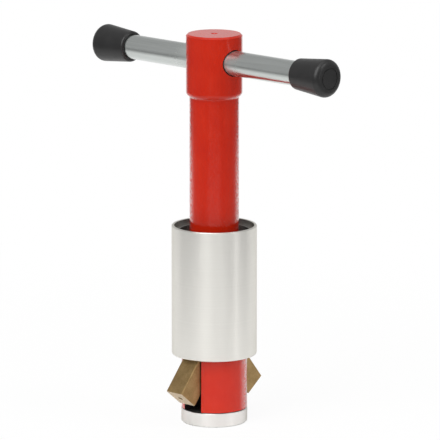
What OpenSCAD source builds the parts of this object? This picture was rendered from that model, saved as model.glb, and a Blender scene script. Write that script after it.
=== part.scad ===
// T-handled drive-out tool for bicycle bearings and cups.
// Two sprung jaws swing out of a slotted head, a loose sleeve slides on the spindle above them.
// Millimetres. Origin at the middle of the foot disc's underside, +Z up the spindle,
// X along the cross bar, Y across the jaws. The jaws are drawn open and the sleeve down.

/* [Spindle] */
// Overall height, from the disc's underside to the struck top of the hub
tool_h = 175.5; // [165:0.5:200]
// Diameter of the round shaft
shaft_d = 22; // [18:0.5:25]
// How far the hub stands out from the shaft
hub_step = 1.5; // [1:0.1:3]
// Height of the hub that carries the cross bar, with the taper under it
hub_h = 28.2; // [24:0.1:34]
// Chamfer round the hub's top edge
hub_top_chamfer = 0.8; // [0.3:0.1:2]
// Rounding where the hub's wall turns into the taper under it
hub_bottom_round = 2; // [0.3:0.1:2.5]
// Diameter of the centre drill's mark in the hub's top
centre_mark_d = 3.2; // [2:0.1:5]

/* [Cross bar] */
// Diameter of the bar
bar_d = 11; // [8:0.5:12]
// Length of the bar
bar_len = 135; // [110:1:180]
// Depth of the bar's axis below the hub's top
bar_drop = 11.9; // [10:0.1:15]
// Gap all round between the bar and its hole
bar_clear = 0.3; // [0.05:0.05:0.5]
// Width of the eased edge where the bar enters the hub
bar_mouth_w = 0.2; // [0.1:0.1:1.2]
// Rubber left beyond each end of the bar
cap_end_wall = 2.5; // [2:0.1:5]
// Length of bar that each cap grips
cap_grip = 16.3; // [12:0.1:25]
// Rubber wall at the cap's mouth
cap_wall = 1.45; // [1:0.05:3]
// How much the cap's radius grows towards its end
cap_flare = 1.45; // [0.5:0.05:3]
// Rounding of the mouth's lip
cap_lip_r = 1.1; // [0.3:0.1:1.2]
// Rounding of the end's edge
cap_edge_r = 2.6; // [1:0.1:3]
// Diameter of the moulded ring on the cap's end face
cap_ring_d = 8.6; // [5:0.1:10]

/* [Jaws] */
// Width of a jaw along its pivot
jaw_w = 9.5; // [7:0.1:11]
// Thickness of a jaw
jaw_t = 10.8; // [9.6:0.1:11.4]
// Length from the pivot to the working end
jaw_len = 24.8; // [21:0.1:30]
// Angle at which the jaws stand open
jaw_open = 38.8; // [34:0.1:42]
// Gap between the two folded jaws
jaw_fold_gap = 1; // [0.8:0.1:2]
// Gap between the folded jaws' ends and the disc
jaw_foot_gap = 1.7; // [0.8:0.1:4]
// Distance from the pivot to the stop facet on a jaw's upper end
jaw_stop_r = 5; // [4.4:0.1:6]
// Chamfer along a jaw's edges
jaw_edge = 0.3; // [0.1:0.05:0.6]
// Diameter of the drilled hole in a jaw's end
jaw_hole_d = 2.2; // [1.5:0.1:3]
// Depth of that hole
jaw_hole_depth = 6; // [3:0.5:12]
// Diameter of the pivot pins
pin_d = 4; // [3:0.1:4.4]
// Gap between each side of a jaw and the slot
jaw_side_clear = 0.35; // [0.2:0.05:0.6]

/* [Head] */
// Diameter of the slotted head
head_d = 29.3; // [28:0.1:34]
// Solid height between the slot's ceiling and the head's top
head_web = 8.1; // [6.5:0.1:12]
// Chamfer round the head's top edge
head_chamfer = 1.2; // [0.5:0.1:2]
// Chamfer round the head's foot, the dark line above the disc
head_foot_chamfer = 0.35; // [0.1:0.05:0.8]
// Length of the stud that holds the head in the spindle
stud_len = 17.5; // [16:0.5:24]
// Wall of the hollow stud
stud_wall = 2.7; // [2:0.1:3.2]
// Diameter of the set screw that locks the stud
set_screw_d = 5; // [3:0.5:6]
// Height of the set screw above the head's top
set_screw_up = 11; // [5:0.5:13]

/* [Foot disc] */
// How far the disc stands out past the head all round, so that it is what pilots the bearing's bore
disc_over = 0.1; // [0.05:0.05:0.5]
// Thickness of the disc
disc_h = 6.3; // [5.5:0.1:10]
// Chamfer round the disc's lower edge
disc_chamfer = 0.5; // [0.2:0.1:1.2]
// Diameter of the countersunk screws that hold the disc
disc_screw_d = 4; // [3:0.5:4.5]
// Length of those screws
disc_screw_len = 14; // [11:0.5:20]

/* [Sleeve] */
// Outside diameter of the sleeve
sleeve_d = 38; // [37:0.1:44]
// Length of the sleeve
sleeve_len = 58.5; // [52:0.5:64]
// Gap all round between the sleeve and the head
sleeve_clear = 0.55; // [0.3:0.05:0.8]
// Width of the step that the bush stands on
bush_step = 0.45; // [0.3:0.05:0.8]
// Depth of the bush below the sleeve's rim
bush_depth = 7; // [5:0.5:10]
// Length of the bush
bush_len = 11; // [8:0.5:14]
// Gap all round between the bush and the shaft
bush_clear = 0.1; // [0.05:0.01:0.1]
// Wall of the thin rim at the sleeve's top
rim_wall = 1.2; // [0.8:0.1:1.5]
// Depth of the recess inside that rim
rim_depth = 2.2; // [1:0.1:4]
// Rounding of the sleeve's lower outer edge
sleeve_round = 0.8; // [0.3:0.1:1.5]

/* [Spring and plunger] */
// Outside diameter of the spring
spring_d = 7.9; // [7:0.1:8.5]
// Diameter of the spring wire
spring_wire = 1; // [0.6:0.1:1.1]
// Number of turns
spring_turns = 8; // [6:1:9]
// Length of the spring with the jaws open
spring_len = 19.6; // [18:0.1:24]
// Gap all round between the spring and its bore
spring_clear = 0.35; // [0.2:0.05:0.5]
// Radius of the plunger's ball nose
nose_r = 1.6; // [1.4:0.1:1.7]
// Height of the jaws' ledges above their pivots
ledge_up = 1.9; // [1.7:0.05:2.1]
// Thickness of the plunger's flange
flange_h = 2; // [1.5:0.1:3]

/* [Fits] */
// Gap all round a pressed or screwed piece
press_gap = 0.01; // [0.01:0.01:0.02]
// Gap all round a pin that turns in a jaw
run_gap = 0.05; // [0.03:0.01:0.1]
// Gap between a stop and what it stops
stop_gap = 0.1; // [0.05:0.01:0.15]
// Gap round the plunger in its bores
plunger_gap = 0.1; // [0.05:0.01:0.1]

/* [Hidden] */
$fn = 96;
// Overlap that keeps cuts clean
eps = 0.5;
// Hair's breadth that keeps a tapered cut from ending flush with a face
skin = 0.001;

RED = "firebrick";
STEEL = "silver";
ALUMINIUM = "gainsboro";
BRONZE = "darkgoldenrod";
BLACK = [0.16, 0.16, 0.16];

// Hub and bar
shaft_r = shaft_d / 2;
hub_r = shaft_r + hub_step;
hub_z = tool_h - hub_h;
// The hub narrows to the shaft at this angle
taper_angle = 45;
// A rounding of 1 mm reaches this far along the wall and along the taper
taper_reach = tan(taper_angle / 2);
hub_wall_z = hub_z + hub_step / tan(taper_angle);
hub_fillet = 0.6;
centre_mark_angle = 60;
centre_mark_deep = centre_mark_d / 2 / tan(centre_mark_angle / 2);
centre_tip_r = 0.05;
bar_r = bar_d / 2;
bar_z = tool_h - bar_drop;
bar_hole_r = bar_r + bar_clear;
// The bar's hole widens by this much for each millimetre of its mouth
bar_mouth_slope = 0.5;
bar_mouth_len = bar_mouth_w / bar_mouth_slope;
bar_chamfer = 0.8;
cap_mouth_r = bar_r + cap_wall;
cap_end_r = cap_mouth_r + cap_flare;
cap_len = cap_grip + cap_end_wall;
cap_mouth_x = bar_len / 2 - cap_grip;
cap_ring_w = 0.5;
cap_ring_depth = 0.25;

// Jaws, with the plunger's ball resting on their ledges
jaw_half = jaw_t / 2;
pin_r = pin_d / 2;
pivot_y = jaw_half + jaw_fold_gap / 2;
pivot_z = disc_h + jaw_foot_gap + jaw_len;
slot_w = jaw_w + 2 * jaw_side_clear;
ceiling_z = pivot_z + jaw_stop_r + stop_gap;
facet_n = jaw_stop_r * sin(jaw_open);
// The rounded upper end passes the ceiling at half the stop's gap
jaw_crown_r = jaw_stop_r + stop_gap / 2;
ledge_corner = 0.5;
nose_room = 0.25;

// Height of the ball's centre over the pivots for a jaw at angle t
function ball_up(t) = (ledge_up + nose_r - pivot_y * sin(t)) / cos(t);
// The ball keeps this much off the ledges, so that its steady rise never meets them
nose_gap = 0.06;
nose_travel = ball_up(0) - ball_up(jaw_open);
nose_z = pivot_z + ball_up(jaw_open) + nose_gap;
// Where the ball's centre and the stem's near side lie in an open jaw's own directions
ball_n = -pivot_y * cos(jaw_open) + ball_up(jaw_open) * sin(jaw_open);
ball_h = ledge_up + nose_r;
stem_n = ball_n + nose_r / cos(jaw_open);
// The notch's upright wall ends this much below the ball's centre
notch_low = 0.2;
notch_h = ball_h - notch_low;
notch_n = stem_n - (ball_h - notch_h) * tan(jaw_open) + nose_room;
// Cuts across a jaw's upper end reach this far, past all of it
notch_out = jaw_half + jaw_crown_r;

// Head, stud and spring bore
head_r = head_d / 2;
head_top = ceiling_z + head_web;
spring_r = spring_d / 2;
spring_bore_r = spring_r + spring_clear;
stud_r = spring_bore_r + stud_wall;
stud_chamfer = 0.6;
web_floor_h = 4.1;
bore_floor = ceiling_z + web_floor_h;
stem_hole_r = nose_r + plunger_gap;
flange_lift = 0.35;
flange_z = bore_floor + flange_lift;
flange_r = spring_bore_r - plunger_gap;
stub_clear = 0.5;
stub_r = spring_r - spring_wire - stub_clear;
stub_h = 4.5;
spring_z = flange_z + flange_h;
spring_top = spring_z + spring_len;
socket_r = stud_r + press_gap;
set_screw_r = set_screw_d / 2;
set_screw_z = head_top + set_screw_up;
set_screw_sunk = 0.4;
set_screw_key = set_screw_d / 2;
set_screw_key_deep = 1.8;
pin_sunk = 0.1;
pin_half = sqrt(head_r * head_r - pow(pivot_y + pin_r, 2)) - pin_sunk;
pin_chamfer = 0.4;

// Disc and its screws
disc_d = head_d + 2 * disc_over;
disc_r = disc_d / 2;
disc_top_break = 0.15;
disc_screw_r = disc_screw_d / 2;
disc_screw_x = (slot_w / 2 + head_r) / 2;
disc_screw_head_r = disc_screw_d;
disc_screw_sunk = 0.15;
disc_screw_key_share = 0.625;
disc_screw_key = disc_screw_key_share * disc_screw_d;
disc_screw_key_deep = disc_screw_d / 2;
disc_sink_room = 0.05;
disc_screw_room = 0.2;

// Sleeve, which rests on the jaws' outer faces
sleeve_r = sleeve_d / 2;
sleeve_bore_r = head_r + sleeve_clear;
bush_seat_r = sleeve_bore_r + bush_step;
rest_y = sqrt(sleeve_bore_r * sleeve_bore_r - pow(jaw_w / 2, 2));
rest_down = (rest_y - pivot_y - jaw_half * cos(jaw_open)) / tan(jaw_open);
sleeve_z = pivot_z + jaw_half * sin(jaw_open) - rest_down + stop_gap;
sleeve_top = sleeve_z + sleeve_len;
bush_top = sleeve_top - bush_depth;
bush_z = bush_top - bush_len;
sleeve_top_break = 0.3;

// Travel of the two slides, which ends with this much room before the hub
sleeve_stop_room = 0.2;
cap_stop_room = 0.3;
sleeve_travel = hub_z - hub_fillet * taper_reach - bush_top - sleeve_stop_room;
bar_travel = cap_mouth_x - hub_r - cap_stop_room;

echo(jaw_fold_degrees = jaw_open, plunger_travel = nose_travel);
echo(plunger_metres_per_radian = nose_travel / jaw_open * 180 / PI / 1000);
echo(sleeve_travel = sleeve_travel, sleeve_z = sleeve_z, sleeve_top = sleeve_top);
echo(bar_travel = bar_travel, bar_z = bar_z, pivot_y = pivot_y, pivot_z = pivot_z);
echo(spring_least_gap = spring_least_gap, spring_top = spring_top);

// What a rounded corner loses: the corner is at the origin, the solid to its lower left
module corner_round(r) {
    difference() {
        translate([-r, -r]) square(r + eps);
        translate([-r, -r]) circle(r);
    }
}

// What a chamfered corner loses, placed as above
module corner_chamfer(c) {
    polygon([[-c, eps], [-c, 0], [0, -c], [eps, -c], [eps, eps]]);
}

// What the rounding of a taper's wide end loses: the corner is at the origin, the wall runs up from it,
// the taper to its lower left, and the solid is to their left
module taper_round(r) {
    reach = r * taper_reach;
    aside = reach * sin(taper_angle);
    down = reach * cos(taper_angle);
    difference() {
        polygon([[0, reach], [eps, reach], [eps, -eps], [eps - aside, -eps - down], [-aside, -down]]);
        translate([-r, reach]) circle(r);
    }
}

// What the hollow at a taper's narrow end gains: the corner is at the origin, the wall runs down from it,
// the taper to its upper right, and the solid is to their left
module taper_fill(r) {
    reach = r * taper_reach;
    aside = reach * sin(taper_angle);
    up = reach * cos(taper_angle);
    difference() {
        polygon([[-eps, -reach], [0, -reach], [aside, up], [aside - eps, up + eps], [-eps, eps]]);
        translate([r, -reach]) circle(r);
    }
}

// Turns a solid drawn up the Z axis to lie along X
module along_x() {
    rotate([0, 90, 0]) children();
}

// Hexagon socket of width w across flats, d deep, opening upwards at the origin
module hex_socket(w, d) {
    translate([0, 0, -d]) cylinder(r = w / sqrt(3), h = d + eps, $fn = 6);
}

module spindle_profile() {
    difference() {
        union() {
            polygon([[0, head_top], [shaft_r, head_top], [shaft_r, hub_z], [hub_r, hub_wall_z], [hub_r, tool_h],
                [0, tool_h]]);
            translate([shaft_r, hub_z]) taper_fill(hub_fillet);
        }
        translate([hub_r, tool_h]) corner_chamfer(hub_top_chamfer);
        translate([hub_r, hub_wall_z]) taper_round(hub_bottom_round);
    }
}

// Shaft and hub in one turned piece
module spindle() {
    color(RED) difference() {
        rotate_extrude() spindle_profile();
        translate([0, 0, tool_h - centre_mark_deep])
            cylinder(r1 = centre_tip_r, r2 = centre_mark_d / 2, h = centre_mark_deep + skin);
        translate([-hub_r - eps, 0, bar_z]) along_x() cylinder(r = bar_hole_r, h = 2 * (hub_r + eps));
        for (side = [0, 180]) rotate([0, 0, side]) translate([hub_r - bar_mouth_len, 0, bar_z]) along_x()
            cylinder(r1 = bar_hole_r - skin, r2 = bar_hole_r + bar_mouth_w + bar_mouth_slope * eps,
                h = bar_mouth_len + eps);
        translate([0, 0, head_top - eps]) cylinder(r = socket_r, h = spring_top - head_top + eps);
        translate([0, 0, set_screw_z]) along_x() cylinder(r = set_screw_r + press_gap, h = shaft_r + eps);
    }
}

module head_profile() {
    difference() {
        union() {
            translate([0, disc_h]) square([head_r, head_top - disc_h]);
            translate([0, disc_h]) square([stud_r, head_top - disc_h + stud_len]);
        }
        translate([head_r, head_top]) corner_chamfer(head_chamfer);
        translate([head_r, disc_h]) mirror([0, 1]) corner_chamfer(head_foot_chamfer);
        translate([stud_r, head_top + stud_len]) corner_chamfer(stud_chamfer);
    }
}

// Slotted head with its hollow stud, screwed up into the spindle
module jaw_head() {
    color(RED) difference() {
        rotate_extrude() head_profile();
        translate([-slot_w / 2, -head_r - eps, disc_h - eps])
            cube([slot_w, 2 * (head_r + eps), ceiling_z - disc_h + eps]);
        translate([0, 0, ceiling_z - eps]) cylinder(r = stem_hole_r, h = web_floor_h + 2 * eps);
        translate([0, 0, bore_floor]) cylinder(r = spring_bore_r, h = head_top + stud_len);
        for (side = [-1, 1]) translate([-head_r - eps, side * pivot_y, pivot_z]) along_x()
            cylinder(r = pin_r + press_gap, h = 2 * (head_r + eps));
        for (side = [-1, 1]) translate([side * disc_screw_x, 0, disc_h - eps])
            cylinder(r = disc_screw_r + press_gap, h = disc_screw_len - disc_h + disc_screw_room + 2 * eps);
    }
}

// Headless set screw that locks the stud
module head_set_screw() {
    tip = socket_r;
    color(STEEL) translate([tip, 0, set_screw_z]) along_x() difference() {
        cylinder(r = set_screw_r, h = shaft_r - tip - set_screw_sunk);
        translate([0, 0, shaft_r - tip - set_screw_sunk]) hex_socket(set_screw_key, set_screw_key_deep);
    }
}

module disc_profile() {
    difference() {
        square([disc_r, disc_h]);
        translate([disc_r, 0]) mirror([0, 1]) corner_chamfer(disc_chamfer);
        translate([disc_r, disc_h]) corner_chamfer(disc_top_break);
    }
}

// Foot disc, countersunk from below for two screws
module pilot_disc() {
    sink_r = disc_screw_head_r + disc_screw_sunk + disc_sink_room;
    color(ALUMINIUM) difference() {
        rotate_extrude() disc_profile();
        for (side = [-1, 1]) translate([side * disc_screw_x, 0, 0]) {
            translate([0, 0, -eps]) cylinder(r = disc_screw_r + disc_screw_room, h = disc_h + 2 * eps);
            translate([0, 0, -skin]) cylinder(r1 = sink_r, r2 = disc_screw_r, h = sink_r - disc_screw_r);
        }
    }
}

// The two countersunk screws that hold the disc to the head
module disc_screws() {
    color(STEEL) for (side = [-1, 1]) translate([side * disc_screw_x, 0, disc_screw_sunk]) difference() {
        union() {
            cylinder(r1 = disc_screw_head_r, r2 = disc_screw_r, h = disc_screw_head_r - disc_screw_r);
            cylinder(r = disc_screw_r, h = disc_screw_len - disc_screw_sunk);
        }
        rotate([180, 0, 0]) hex_socket(disc_screw_key, disc_screw_key_deep);
    }
}

// Side view of a jaw about its pivot: x points outwards, y up the jaw
module jaw_side() {
    difference() {
        union() {
            translate([-jaw_half, -jaw_len]) square([jaw_t, jaw_len + eps]);
            translate([-jaw_half, 0]) square([jaw_half, ledge_up + eps]);
            circle(jaw_crown_r);
            translate([facet_n, 0]) square([jaw_half - facet_n, jaw_crown_r]);
        }
        rotate(-jaw_open) translate([-notch_out, jaw_stop_r]) square(2 * notch_out);
        polygon([[-notch_out, ledge_up], [notch_n, ledge_up], [notch_n, notch_h],
            [notch_n + (notch_out - notch_h) * tan(jaw_open), notch_out], [-notch_out, notch_out]]);
        translate([-jaw_half, ledge_up]) mirror([1, 0]) corner_chamfer(ledge_corner);
    }
}

// End view of a jaw, a square bar with its edges broken
module jaw_section() {
    difference() {
        square([jaw_w, jaw_t], center = true);
        for (sx = [0, 1]) for (sy = [0, 1]) mirror([sx, 0]) mirror([0, sy])
            translate([jaw_w / 2, jaw_half]) corner_chamfer(jaw_edge);
    }
}

// A jaw in its own directions, with the pivot at the origin
module jaw_bar() {
    difference() {
        intersection() {
            rotate([90, 0, 90]) translate([0, 0, -jaw_w / 2]) linear_extrude(jaw_w) jaw_side();
            translate([0, 0, -jaw_len - eps]) linear_extrude(jaw_len + 2 * jaw_stop_r) jaw_section();
        }
        translate([-jaw_w, 0, 0]) along_x() cylinder(r = pin_r + run_gap, h = 2 * jaw_w);
        translate([0, 0, -jaw_len - eps]) cylinder(d = jaw_hole_d, h = jaw_hole_depth + eps);
    }
}

module rear_jaw() {
    color(BRONZE) translate([0, pivot_y, pivot_z]) rotate([jaw_open, 0, 0]) jaw_bar();
}

module front_jaw() {
    color(BRONZE) mirror([0, 1, 0]) translate([0, pivot_y, pivot_z]) rotate([jaw_open, 0, 0]) jaw_bar();
}

module pivot_pin(y) {
    color(STEEL) translate([0, y, pivot_z]) along_x() rotate_extrude() difference() {
        translate([0, -pin_half]) square([pin_r, 2 * pin_half]);
        for (end = [0, 1]) mirror([0, end]) translate([pin_r, pin_half]) corner_chamfer(pin_chamfer);
    }
}

module front_pivot_pin() {
    pivot_pin(-pivot_y);
}

module rear_pivot_pin() {
    pivot_pin(pivot_y);
}

// Ball-nosed plunger that pushes the jaws' ledges down, and so the jaws out
module plunger() {
    color(STEEL) rotate_extrude() {
        intersection() {
            translate([0, nose_z]) circle(nose_r);
            translate([0, nose_z - nose_r]) square(nose_r);
        }
        translate([0, nose_z]) square([nose_r, flange_z - nose_z + eps]);
        translate([0, flange_z]) square([flange_r, flange_h]);
        translate([0, flange_z]) square([stub_r, flange_h + stub_h]);
    }
}

// Coil of the spring: rings of points along the wire
spring_rings = 8;
spring_sides = 6;
spring_seat = 0.05;
coil_r = spring_r - spring_wire / 2;
coil_z = spring_z + spring_wire / 2 + spring_seat;
coil_pitch = (spring_len - spring_wire - 2 * spring_seat) / spring_turns;
coil_count = spring_turns * spring_rings;
function coil_angle(i) = i * 360 / spring_rings;
function coil_centre(i) = [coil_r * cos(coil_angle(i)), coil_r * sin(coil_angle(i)),
    coil_z + coil_pitch * i / spring_rings];
function coil_out(i) = [cos(coil_angle(i)), sin(coil_angle(i)), 0];
function coil_way(i) = [-sin(coil_angle(i)), cos(coil_angle(i)), coil_pitch / (2 * PI * coil_r)];
function coil_side(i) = cross(coil_way(i), coil_out(i)) / norm(coil_way(i));
function coil_point(i, k) = coil_centre(i) + spring_wire / 2
    * (cos(k * 360 / spring_sides) * coil_out(i) + sin(k * 360 / spring_sides) * coil_side(i));
function ring_index(i, k) = i * spring_sides + k % spring_sides;
coil_points = [for (i = [0:coil_count]) for (k = [0:spring_sides - 1]) coil_point(i, k)];
coil_faces = concat(
    [for (i = [0:coil_count - 1]) for (k = [0:spring_sides - 1])
        [ring_index(i, k), ring_index(i + 1, k), ring_index(i + 1, k + 1)]],
    [for (i = [0:coil_count - 1]) for (k = [0:spring_sides - 1])
        [ring_index(i, k), ring_index(i + 1, k + 1), ring_index(i, k + 1)]],
    [for (k = [1:spring_sides - 2]) [ring_index(0, 0), ring_index(0, k), ring_index(0, k + 1)]],
    [for (k = [1:spring_sides - 2])
        [ring_index(coil_count, 0), ring_index(coil_count, k + 1), ring_index(coil_count, k)]]);
spring_least_gap = min([for (i = [0:coil_count - spring_rings])
    for (k = [0:spring_sides - 1]) for (m = [0:spring_sides - 1])
        norm(coil_point(i + spring_rings, k) - coil_point(i, m))]);

// Compression spring behind the plunger, one unbroken wire
module jaw_spring() {
    color(STEEL) polyhedron(coil_points, coil_faces);
}

module sleeve_profile() {
    difference() {
        translate([sleeve_bore_r, sleeve_z]) square([sleeve_r - sleeve_bore_r, sleeve_len]);
        translate([sleeve_bore_r - eps, bush_z]) square([bush_step + eps, sleeve_len]);
        translate([sleeve_bore_r - eps, sleeve_top - rim_depth])
            square([sleeve_r - rim_wall - sleeve_bore_r + eps, sleeve_len]);
        translate([sleeve_r, sleeve_z]) mirror([0, 1]) corner_round(sleeve_round);
        translate([sleeve_r, sleeve_top]) corner_chamfer(sleeve_top_break);
    }
}

// Turned sleeve that slides on the spindle
module guide_sleeve() {
    color(ALUMINIUM) rotate_extrude() sleeve_profile();
}

// Plain bush pressed into the sleeve
module sleeve_bush() {
    color(BLACK) translate([0, 0, bush_z]) difference() {
        cylinder(r = bush_seat_r - press_gap, h = bush_len);
        translate([0, 0, -eps]) cylinder(r = shaft_r + bush_clear, h = bush_len + 2 * eps);
    }
}

// Sliding cross bar
module cross_bar() {
    color(STEEL) translate([0, 0, bar_z]) along_x() rotate_extrude() difference() {
        translate([0, -bar_len / 2]) square([bar_r, bar_len]);
        for (end = [0, 1]) mirror([0, end]) translate([bar_r, bar_len / 2]) corner_chamfer(bar_chamfer);
    }
}

// Side of a rubber cap, from its mouth upwards, before the bar's hole is cut
module cap_profile() {
    difference() {
        polygon([[0, 0], [cap_mouth_r, 0], [cap_end_r, cap_len - cap_edge_r], [cap_end_r, cap_len],
            [0, cap_len]]);
        translate([-eps, -eps]) square([bar_r + press_gap + eps, cap_grip + eps]);
        translate([cap_mouth_r, 0]) mirror([0, 1]) corner_round(cap_lip_r);
        translate([cap_end_r, cap_len]) corner_round(cap_edge_r);
        translate([cap_ring_d / 2, cap_len - cap_ring_depth]) square([cap_ring_w, cap_ring_depth + eps]);
    }
}

module cap() {
    color(BLACK) translate([cap_mouth_x, 0, bar_z]) along_x() rotate_extrude() cap_profile();
}

module right_cap() {
    cap();
}

module left_cap() {
    mirror([1, 0, 0]) cap();
}

spindle();
jaw_head();
head_set_screw();
pilot_disc();
disc_screws();
front_jaw();
rear_jaw();
front_pivot_pin();
rear_pivot_pin();
plunger();
jaw_spring();
guide_sleeve();
sleeve_bush();
cross_bar();
left_cap();
right_cap();
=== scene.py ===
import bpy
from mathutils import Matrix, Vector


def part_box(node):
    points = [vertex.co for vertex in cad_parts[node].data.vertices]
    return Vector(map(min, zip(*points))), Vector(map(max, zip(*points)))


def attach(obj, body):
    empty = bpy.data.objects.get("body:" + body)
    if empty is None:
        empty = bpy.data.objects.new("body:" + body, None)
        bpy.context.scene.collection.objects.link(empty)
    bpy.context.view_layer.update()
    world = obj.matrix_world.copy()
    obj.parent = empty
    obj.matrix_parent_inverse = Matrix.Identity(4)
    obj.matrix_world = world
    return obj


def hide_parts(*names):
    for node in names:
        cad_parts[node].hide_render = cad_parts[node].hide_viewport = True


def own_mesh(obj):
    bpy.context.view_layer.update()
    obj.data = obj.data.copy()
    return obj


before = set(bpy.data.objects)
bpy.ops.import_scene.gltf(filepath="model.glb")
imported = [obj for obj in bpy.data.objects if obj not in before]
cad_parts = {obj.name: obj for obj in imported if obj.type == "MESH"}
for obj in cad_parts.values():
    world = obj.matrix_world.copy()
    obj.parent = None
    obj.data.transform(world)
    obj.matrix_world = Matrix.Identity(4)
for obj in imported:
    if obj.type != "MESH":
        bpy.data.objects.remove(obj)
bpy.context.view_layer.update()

from math import acos, cos, degrees, pi, radians, sin, sqrt, tan

import bpy
from mathutils import Vector

# Sizes are in millimetres, as in the part's source, and meshes are made in metres.
MM = 0.001

# Points closer than CLOSE, in metres, become one, and edges that turn by more than CREASE stay sharp.
CLOSE = 2e-6
CREASE = radians(35)

# Sides round turned pieces and cutting tools
SIDES = 144
SLEEVE_SIDES = 192
PLUNGER_SIDES = 96
BAR_HOLE_SIDES = 96
WIDE_HOLE_SIDES = 64
HOLE_SIDES = 48

# How far a cutting tool runs past its piece, and the room in a press fit and in a running fit
PAST = 2
JUST_PAST = 1
PRESS_ROOM = 0.01
RUN_ROOM = 0.05

# Turns that lay a lathed piece along X, and take a piece round to the tool's other side
ALONG_X = (0, pi / 2, 0)
HALF_TURN = (0, 0, pi)


def size_of(node):
    """A CAD node's lowest and highest corner in millimetres."""
    low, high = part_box(node)
    return low / MM, high / MM


SPINDLE_LOW, SPINDLE_HIGH = size_of("spindle")
_, HEAD_HIGH = size_of("jaw_head")
_, DISC_HIGH = size_of("pilot_disc")
SLEEVE_LOW, SLEEVE_HIGH = size_of("guide_sleeve")
BUSH_LOW, _ = size_of("sleeve_bush")
_, BAR_HIGH = size_of("cross_bar")
CAP_LOW, CAP_HIGH = size_of("right_cap")
_, JAW_HIGH = size_of("rear_jaw")
PLUNGER_LOW, PLUNGER_HIGH = size_of("plunger")

# Spindle
TOP_Z = SPINDLE_HIGH.z
HUB_R = SPINDLE_HIGH.x
HUB_STEP = 1.5
HUB_H = 28.2
SHAFT_R = HUB_R - HUB_STEP
HUB_Z = TOP_Z - HUB_H
HUB_CHAMFER = 0.8
HUB_ROUND = 2
HUB_FILLET = 0.6
SHAFT_ROWS = 12
HUB_ROWS = 18
MARK_R = 1.6
MARK_DEEP = 2.77
SOCKET_R = 7.01
SOCKET_TOP = 63.95
SET_SCREW_Z = 57
SET_SCREW_R = 2.51
SET_SCREW_FROM = 4

# Cross bar and caps
BAR_DROP = 11.9
BAR_Z = TOP_Z - BAR_DROP
BAR_R = 5.5
BAR_HALF = BAR_HIGH.x
BAR_CHAMFER = 0.8
BAR_ROOM = 0.3
BAR_HOLE_R = BAR_R + BAR_ROOM
BAR_MOUTH = 0.2
CAP_LEN = CAP_HIGH.x - CAP_LOW.x
CAP_GRIP = BAR_HALF - CAP_LOW.x
CAP_MOUTH_R = 6.95
CAP_END_R = CAP_HIGH.y
CAP_LIP = 1.1
CAP_EDGE = 2.6
CAP_SLOPE = 5
CAP_HOLE_R = BAR_R + PRESS_ROOM
CAP_HOLE_BREAK = 0.2
CAP_RING_R = 4.3
CAP_RING_W = 0.5
CAP_RING_DEEP = 0.25
CAP_RING_SLOPE = 0.1

# Head and disc
HEAD_R = HEAD_HIGH.x
HEAD_TOP = SPINDLE_LOW.z
HEAD_CHAMFER = 1.2
HEAD_FOOT = 0.35
HEAD_ROWS = 20
SLOT_HALF = 5.1
SLOT_TOP = 37.9
SLOT_EASE = 0.3
STEM_HOLE_R = 1.7
BORE_FLOOR = 42.0
BORE_R = 4.3
STUD_R = 7.0
STUD_TOP = HEAD_HIGH.z
STUD_CHAMFER = 0.6
PIN_R = 2
PIVOT_Y = 5.9
PIVOT_Z = 32.8
DISC_R = DISC_HIGH.x
DISC_TOP = DISC_HIGH.z
DISC_CHAMFER = 0.5
DISC_BREAK = 0.15
SCREW_X = 9.875
SCREW_R = 2
SCREW_SINK_R = 4.2
SCREW_ROOM = 0.2
SCREW_TOP = 14

# Jaws
JAW_OPEN = radians(38.8)
JAW_HALF_W = JAW_HIGH.x
JAW_HALF_T = 5.4
JAW_LEN = 24.8
JAW_CROWN_R = 5.05
JAW_STOP_R = 5
JAW_EDGE = 0.3
JAW_EDGE_STEPS = 2
JAW_HOLE_R = 1.1
JAW_HOLE_DEEP = 6
JAW_HOLE_SINK = 0.2
JAW_HOLE_TIP = 0.6
LEDGE_UP = 1.9
LEDGE_CORNER = 0.5
NOTCH_N = -2.614
NOTCH_UP = 3.3

# Sleeve
SLEEVE_R = SLEEVE_HIGH.x
SLEEVE_ROOM = 0.55
SLEEVE_BORE_R = HEAD_R + SLEEVE_ROOM
BUSH_STEP = 0.45
BUSH_SEAT_R = SLEEVE_BORE_R + BUSH_STEP
RIM_WALL = 1.2
RIM_R = SLEEVE_R - RIM_WALL
RIM_DEEP = 2.2
RIM_Z = SLEEVE_HIGH.z - RIM_DEEP
SLEEVE_ROUND = 0.8
SLEEVE_BREAK = 0.3
SLEEVE_EASE = 0.12

# Plunger and spring
NOSE_R = 1.6
FLANGE_R = PLUNGER_HIGH.x
FLANGE_LIFT = 0.35
FLANGE_Z = BORE_FLOOR + FLANGE_LIFT
FLANGE_H = 2
FLANGE_TOP = FLANGE_Z + FLANGE_H
STUB_R = 2.45
PLUNGER_EDGE = 0.2
COIL_R = 3.45
COIL_LOW = 44.9
COIL_PITCH = 2.3125
COIL_TURNS = 8
COIL_STEPS = 48
WIRE_R = 0.5
WIRE_SIDES = 14


def only(piece):
    """Leaves the piece as the one selected, active object."""
    bpy.ops.object.select_all(action='DESELECT')
    piece.select_set(True)
    bpy.context.view_layer.objects.active = piece


def rounded(centre, radius, start, end, steps=6):
    """Points of a rounded corner about its centre, from one angle to another in degrees."""
    turns = [radians(start + (end - start) * i / steps) for i in range(steps + 1)]
    return [(centre[0] + radius * cos(t), centre[1] + radius * sin(t)) for t in turns]


def steps_up(radius, low, high, rows):
    """Evenly spaced points up a straight wall."""
    return [(radius, low + (high - low) * i / rows) for i in range(rows + 1)]


def rod(radius, low, high):
    """The section of a plain rod, for a drill."""
    return [(0, low), (radius, low), (radius, high), (0, high)]


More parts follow.
